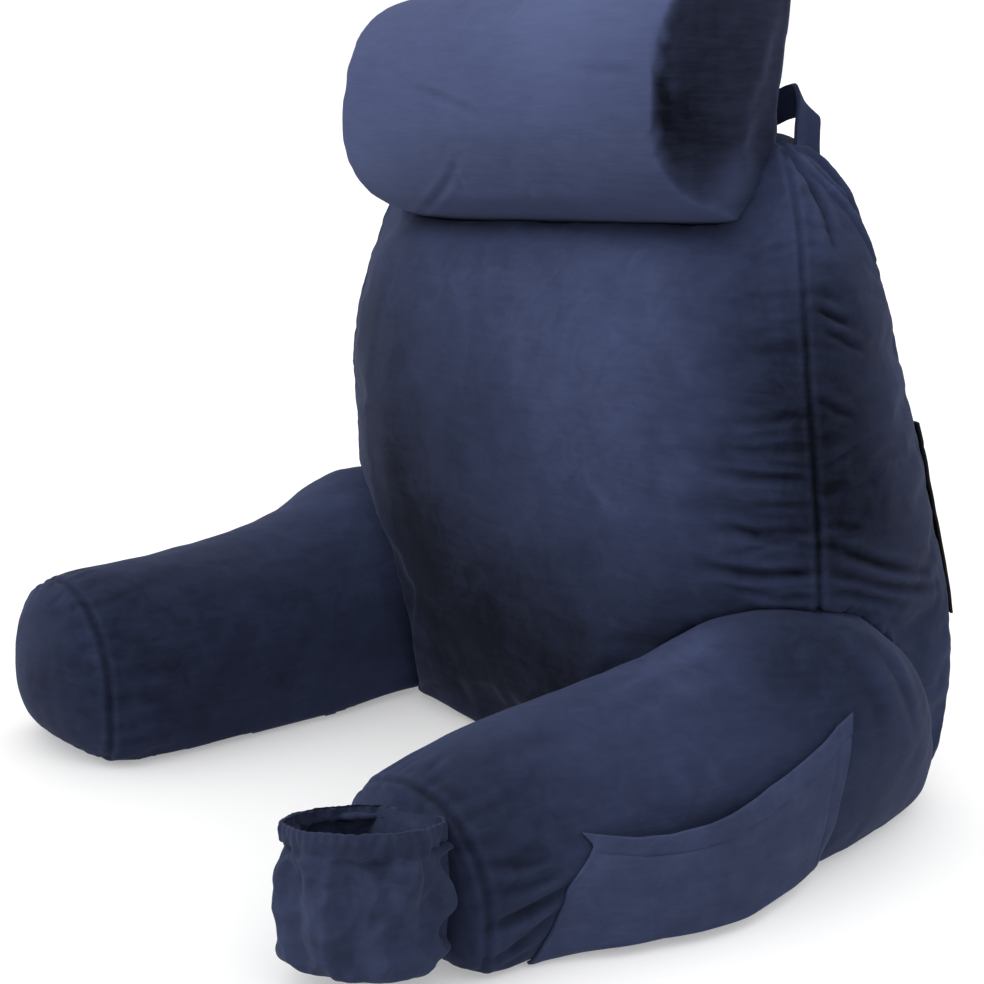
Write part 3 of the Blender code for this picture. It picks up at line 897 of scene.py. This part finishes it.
CUP_MIDDLE = (0.240, -0.231)
CUP_WALL = 0.0022
CUP_SEGMENTS = 180
CUP_ROUNDS = 60
CUP_FRONT_LIFT = 0.012      # the mouth is higher towards the front outer side
CUP_LIFT_BEARING = math.radians(-38)
CUP_REAR = -0.186           # the pouch stays in front of this, where the arm's end is further back
CUP_SEWN_FROM = -0.191      # further back than this it lies against the arm, and is smoothed
# Creases of the pouch: (depth, size, how much of the noise counts as a crease)
CUP_CREASES = ((0.0074, 0.017, 0.35), (0.0026, 0.010, 0.30))
CUP_BUNCH_BEARING = 0.78    # where the cloth is bunched, in radians round the pouch
CUP_RIDGE_BEARING = -0.99   # where one upright ridge stands out
# The pouch from its foot up: (height, radius, how deep the gathers are)
CUP_RINGS = (
    (0.0180, 0.0415, 0.4), (0.0240, 0.0485, 0.9), (0.0380, 0.0515, 1.0), (0.0550, 0.0525, 0.9),
    (0.0740, 0.0520, 0.9), (0.0860, 0.0500, 0.9), (0.0905, 0.0480, 0.4), (0.0930, 0.0492, 0.5),
    (0.1000, 0.0500, 0.6), (0.1035, 0.0492, 0.4),
)


def pouch_point(angle, share, out, arm):
    """A point of the pouch, at an angle round it and a share of the way up. It lies on the pouch's
    upright middle line where out is 0, and on its wall where out is 1."""
    height, radius, gathered = curve_point(CUP_RINGS, share)
    z = height + CUP_FRONT_LIFT * math.cos(angle - CUP_LIFT_BEARING) * share ** 2
    around = Vector((math.cos(angle), math.sin(angle), 0.0))
    place = Vector((*CUP_MIDDLE, z)) + around * radius
    hit = arm.ray_cast(Vector((place.x, -1.0, z)), Vector((0, 1, 0)))[0]
    limit = min(hit.y if hit else CUP_REAR, CUP_REAR) - CLOTH_GAP
    away = max(0.0, min(1.0, (limit - place.y) / 0.006))
    hem = max(0.0, min(1.0, (share - 0.66) / 0.12))
    pleats = 0.0008 * hem * math.sin(46 * angle + 1.5 * math.sin(5 * angle)) * math.sin(
        math.pi * min(1.0, (1 - share) / 0.2 + 0.15))
    gathers = 0.0014 * gathered * math.sin(11 * angle + 5.0 * share + 1.5 * math.sin(2 * angle))
    gathers += 0.0016 * math.sin(24 * angle + 2 * math.sin(3 * angle)) * math.exp(
        -abs(0.74 - share) / 0.10)
    spot = Vector((place.x, place.y, place.z * 0.65))
    crumple = 0.0082 * noise.noise(spot / 0.025 + Vector((4.2, 0.0, 1.0)))
    for depth, size, start in CUP_CREASES:
        crumple += depth * (start - abs(noise.noise(spot / size)))
    bunched = math.exp(-((angle - CUP_BUNCH_BEARING) / 0.34) ** 2)
    crumple += 0.0060 * bunched * math.sin(34 * share + 2 * angle + 2 * math.sin(7 * share))
    crumple += 0.0022 * math.exp(-((angle - CUP_RIDGE_BEARING) / 0.06) ** 2)
    place += around * (pleats + gathers + crumple * (1 - hem)) * away
    place = Vector((*CUP_MIDDLE, z)).lerp(place, out)
    return Vector((place.x, min(place.y, limit), z))


class PILLOW_OT_cup_pocket(bpy.types.Operator):
    """Makes the gathered cup pocket with its elastic hem"""
    bl_idname = "pillow.cup_pocket"
    bl_label = "Cup pocket"

    def execute(self, context):
        arm = tree_of(bpy.data.objects["arm_left_cushion"])
        pouch = bmesh.new()
        bmesh.ops.create_cone(pouch, cap_ends=True, segments=CUP_SEGMENTS, radius1=1, radius2=1, depth=1)
        uprights = [edge for edge in pouch.edges if abs(edge.verts[0].co.z - edge.verts[1].co.z) > 0.5]
        bmesh.ops.subdivide_edges(pouch, edges=uprights, cuts=CUP_ROUNDS - 1)
        pouch.normal_update()
        bmesh.ops.delete(pouch, geom=[f for f in pouch.faces if f.normal.z > 0.9], context="FACES")
        foot = [face for face in pouch.faces if face.normal.z < -0.9]
        bmesh.ops.poke(pouch, faces=foot)
        for vert in pouch.verts:
            share = vert.co.z + 0.5
            angle = math.atan2(vert.co.y, vert.co.x)
            hub = vert.co.x ** 2 + vert.co.y ** 2 < 0.01
            vert.co = pouch_point(angle, share, 0.0 if hub else 1.0, arm)
        for _ in range(5):
            at_arm = [vert for vert in pouch.verts if vert.co.y > CUP_SEWN_FROM]
            bmesh.ops.smooth_vert(pouch, verts=at_arm, factor=0.5, use_axis_x=True, use_axis_y=True)
        mesh = bpy.data.meshes.new("cup_pocket_pouch")
        pouch.to_mesh(mesh)
        pouch.free()
        piece = new_piece("cup_pocket_pouch", mesh, finish("pocket"))
        # The pouch is darker all over, and more so towards its hem
        height = points_of(mesh)[:, 2] / CUP_RINGS[-1][0]
        add_tone(mesh, -0.10 - 0.34 * np.clip(height, 0, 1))
        wall = piece.modifiers.new("Wall", "SOLIDIFY")
        wall.thickness = CUP_WALL
        wall.offset = -1.0
        soften(piece)
        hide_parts("cup_pocket")
        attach(piece, "root")
        return {"FINISHED"}


POCKET_WALL = 0.0024
# The edges of the tablet pocket: (share, along, height). The mouth and the foot run from front to
# rear, the front edge and the rear edge from the foot up.
POCKET_MOUTH = (
    (0.00, -0.110, 0.083), (0.12, -0.094, 0.0795), (0.25, -0.078, 0.077), (0.40, -0.055, 0.077),
    (0.58, -0.015, 0.081), (0.72, 0.022, 0.090), (0.88, 0.065, 0.104), (1.00, 0.099, 0.1225),
)
POCKET_FOOT = ((0.00, -0.146, 0.003), (1.00, 0.086, 0.003))
POCKET_FRONT = (
    (0.00, -0.146, 0.003), (0.20, -0.140, 0.018), (0.62, -0.125, 0.0515), (0.88, -0.103, 0.0735),
    (1.00, -0.110, 0.083),
)
POCKET_REAR = (
    (0.00, 0.086, 0.003), (0.25, 0.0885, 0.030), (0.60, 0.0900, 0.070), (0.80, 0.0930, 0.095),
    (1.00, 0.099, 0.1225),
)
POCKET_HEM = 0.012
POCKET_REAR_HEM = 0.009
POCKET_HEM_RISE = 0.0004    # a hem is double, so it stands out a little
POCKET_STITCH_DEPTH = 0.0008
POCKET_LEVEL = 0.070        # above this height the pocket hangs from the widest line of the arm
POCKET_LOWEST = 0.004       # below this height it goes straight down
POCKET_SWELL = 0.022        # how far it stands off the arm at the middle of its mouth
POCKET_FOOT_CURL = 0.1      # share of its height in which it leaves the seam at its foot
CORNER_EASE = (-0.04, -0.02, 0.0, 0.02, 0.04)
EASE_FADE = 25              # the easing fades out over 1 / 25 of an edge at each of its ends


def on_line(stations, share):
    """The place on an edge, with its corners eased."""
    rows = np.array(stations)
    ease = np.array(CORNER_EASE) * min(1, EASE_FADE * share, EASE_FADE * (1 - share))
    near = np.clip(share + ease, 0, 1)
    return np.array([np.interp(near, rows[:, 0], rows[:, column]).mean() for column in (1, 2)])


class PILLOW_OT_tablet_pocket(bpy.types.Operator):
    """Makes the slack patch pocket on the outer side of the left arm"""
    bl_idname = "pillow.tablet_pocket"
    bl_label = "Tablet pocket"

    def execute(self, context):
        arm = tree_of(bpy.data.objects["arm_left_cushion"])

        def arm_side(y, z):
            return arm.ray_cast(Vector((1.0, y, z)), Vector((-1, 0, 0)))[0].x + CLOTH_GAP

        def place(u, v):
            mouth, foot = on_line(POCKET_MOUTH, u), on_line(POCKET_FOOT, u)
            front, rear = on_line(POCKET_FRONT, v), on_line(POCKET_REAR, v)
            corners = [np.array(row[1:]) for row in (
                POCKET_FOOT[0], POCKET_FOOT[-1], POCKET_MOUTH[0], POCKET_MOUTH[-1])]
            y, z = (1 - v) * foot + v * mouth + (1 - u) * front + u * rear - (
                (1 - v) * ((1 - u) * corners[0] + u * corners[1])
                + v * ((1 - u) * corners[2] + u * corners[3]))
            hang = arm_side(y, max(z, POCKET_LEVEL))
            sewn = arm_side(y, max(z, POCKET_LOWEST))
            free = math.sqrt(math.sin(math.pi * u) * min(1.0, v / POCKET_FOOT_CURL)) if 0 < u < 1 else 0.0
            swell = POCKET_SWELL * math.sin(math.pi * u)
            spot = Vector((u * 3.2, v * 1.6, 2.0))
            slack = 0.0035 * free * noise.noise(spot) + 0.0015 * free * noise.noise(spot * 3.1)
            below_mouth = (1 - v) * (mouth[1] - foot[1])
            before_rear = (1 - u) * (rear[0] - front[0])
            hemmed = below_mouth < POCKET_HEM or before_rear < POCKET_REAR_HEM
            hem = POCKET_HEM_RISE if hemmed else 0.0
            stitch = math.exp(-((below_mouth - POCKET_HEM) / 0.0014) ** 2)
            stitch = max(stitch, math.exp(-((before_rear - POCKET_REAR_HEM) / 0.0018) ** 2))
            x = sewn + (hang + swell - sewn) * free + slack + hem - POCKET_STITCH_DEPTH * stitch
            return Vector((x, y, z))

        piece = patch("tablet_pocket_patch", 170, 80, place, POCKET_WALL, 1.0, finish("pocket"))
        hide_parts("tablet_pocket")
        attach(piece, "root")
        return {"FINISHED"}


# The back pocket has the sizes of its solid: half widths and heights of its foot and its mouth
BACK_POCKET_HALVES = (0.267, 0.246)
BACK_POCKET_HEIGHTS = (0.140, 0.285)
BACK_POCKET_EDGE_LIFT = 0.006
BACK_POCKET_EDGE_SHARPNESS = 10
BACK_POCKET_GAP = 0.0014    # between the pocket and the rear of the cover
BACK_POCKET_HEM = 0.018     # from the mouth down to the hem's stitches
BACK_POCKET_STITCH_DEPTH = 0.0006


class PILLOW_OT_back_pocket(bpy.types.Operator):
    """Makes the flat black pocket on the rear panel"""
    bl_idname = "pillow.back_pocket"
    bl_label = "Back pocket"

    def execute(self, context):
        body = tree_of(bpy.data.objects["backrest_cushion"])

        def place(u, v):
            foot, mouth = BACK_POCKET_HEIGHTS
            x = (BACK_POCKET_HALVES[0] * (1 - v) + BACK_POCKET_HALVES[1] * v) * (1 - 2 * u)
            z = foot * (1 - v) + mouth * v
            y = body.ray_cast(Vector((x, 1.0, z)), Vector((0, -1, 0)))[0].y
            stitch = math.exp(-(((1 - v) * (mouth - foot) - BACK_POCKET_HEM) / 0.0016) ** 2)
            lift = BACK_POCKET_EDGE_LIFT * abs(1 - 2 * u) ** BACK_POCKET_EDGE_SHARPNESS
            return Vector((x, y + BACK_POCKET_GAP + lift - BACK_POCKET_STITCH_DEPTH * stitch, z))

        piece = patch("back_pocket_patch", 110, 40, place, 0.002, 1.0, finish("black"))
        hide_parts("back_pocket")
        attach(piece, "root")
        return {"FINISHED"}


# ---- stage

FILL_SHARE = 0.22           # power of the fill light, as a share of the key light's


class PILLOW_OT_stage(bpy.types.Operator):
    """Makes the floor, the lights and the camera"""
    bl_idname = "pillow.stage"
    bl_label = "Stage"

    def execute(self, context):
        scene = context.scene
        stage = scene.pillow_stage
        sheet = bmesh.new()
        bmesh.ops.create_grid(sheet, x_segments=1, y_segments=1, size=stage.floor / 2)
        mesh = bpy.data.meshes.new("studio_floor")
        sheet.to_mesh(mesh)
        sheet.free()
        new_piece("studio_floor", mesh, finish("floor"))

        world = bpy.data.worlds.new("studio_room")
        world.use_nodes = True
        room = world.node_tree.nodes["Background"]
        room.inputs["Color"].default_value = linear("#FFFFFF")
        room.inputs["Strength"].default_value = stage.sky
        scene.world = world

        # The softboxes light the pillow and not the floor, and the floor's wash lights the floor alone,
        # so the floor stays evenly pale around the contact shadows.
        floor_alone, all_but_floor = (
            bpy.data.collections.new(name) for name in ("floor_alone", "all_but_floor"))
        for group, state in ((floor_alone, "INCLUDE"), (all_but_floor, "EXCLUDE")):
            group.objects.link(bpy.data.objects["studio_floor"])
            group.collection_objects[0].light_linking.link_state = state
        for name, kind, place, target, size, power in (
                ("key_softbox", "AREA", (-0.10, -1.90, 2.30), (0.0, 0.05, 0.30), 1.2, stage.light),
                ("fill_softbox", "AREA", (2.2, -0.6, 1.2), (0.1, 0.1, 0.2), 1.2, stage.light * FILL_SHARE),
                ("floor_wash", "SUN", (0.0, 0.0, 3.0), (0.0, 0.0, 0.0), 0.0, stage.wash)):
            light = bpy.data.lights.new(name, kind)
            light.energy = power
            if size:
                light.size = size
            lamp = bpy.data.objects.new(name, light)
            lamp.location = place
            lamp.rotation_euler = (Vector(target) - Vector(place)).to_track_quat("-Z", "Y").to_euler()
            lamp.light_linking.receiver_collection = all_but_floor if size else floor_alone
            lamp.light_linking.blocker_collection = None if size else floor_alone
            scene.collection.objects.link(lamp)

        lens = bpy.data.cameras.new("studio_camera")
        lens.sensor_width = SENSOR_MM
        lens.lens = SENSOR_MM * FOCAL_PIXELS / PHOTO_SIDE
        camera = bpy.data.objects.new("studio_camera", lens)
        camera.matrix_world = view_matrix()
        scene.collection.objects.link(camera)
        scene.camera = camera
        scene.view_settings.view_transform = "Standard"
        return {"FINISHED"}


class PILLOW_PT_panel(bpy.types.Panel):
    """Lists the pillow's pieces and settings"""
    bl_label = "Reading Pillow"
    bl_idname = "PILLOW_PT_panel"
    bl_space_type = "VIEW_3D"
    bl_region_type = "UI"
    bl_category = "Pillow"

    def draw(self, context):
        scene = context.scene
        for group, names in (
                (scene.pillow_cover, ("dark", "middle", "light")),
                (scene.pillow_filling, ("pressure", "voxel", "lump")),
                (scene.pillow_stage, ("floor", "light", "sky", "wash"))):
            for name in names:
                self.layout.prop(group, name)
        for operator in OPERATORS:
            self.layout.operator(operator.bl_idname)


OPERATORS = (
    PILLOW_OT_stage, PILLOW_OT_backrest, PILLOW_OT_arms, PILLOW_OT_neck_roll, PILLOW_OT_carry_handle,
    PILLOW_OT_cup_pocket, PILLOW_OT_tablet_pocket, PILLOW_OT_back_pocket,
)
CLASSES = (CoverSettings, FillingSettings, StageSettings) + OPERATORS + (PILLOW_PT_panel,)


def register():
    for item in CLASSES:
        bpy.utils.register_class(item)
    bpy.types.Scene.pillow_cover = bpy.props.PointerProperty(type=CoverSettings)
    bpy.types.Scene.pillow_filling = bpy.props.PointerProperty(type=FillingSettings)
    bpy.types.Scene.pillow_stage = bpy.props.PointerProperty(type=StageSettings)


def unregister():
    del bpy.types.Scene.pillow_stage
    del bpy.types.Scene.pillow_filling
    del bpy.types.Scene.pillow_cover
    for item in reversed(CLASSES):
        bpy.utils.unregister_class(item)


def main():
    register()
    for operator in OPERATORS:
        group, name = operator.bl_idname.split(".")
        getattr(getattr(bpy.ops, group), name)()


if __name__ == "__main__":
    main()
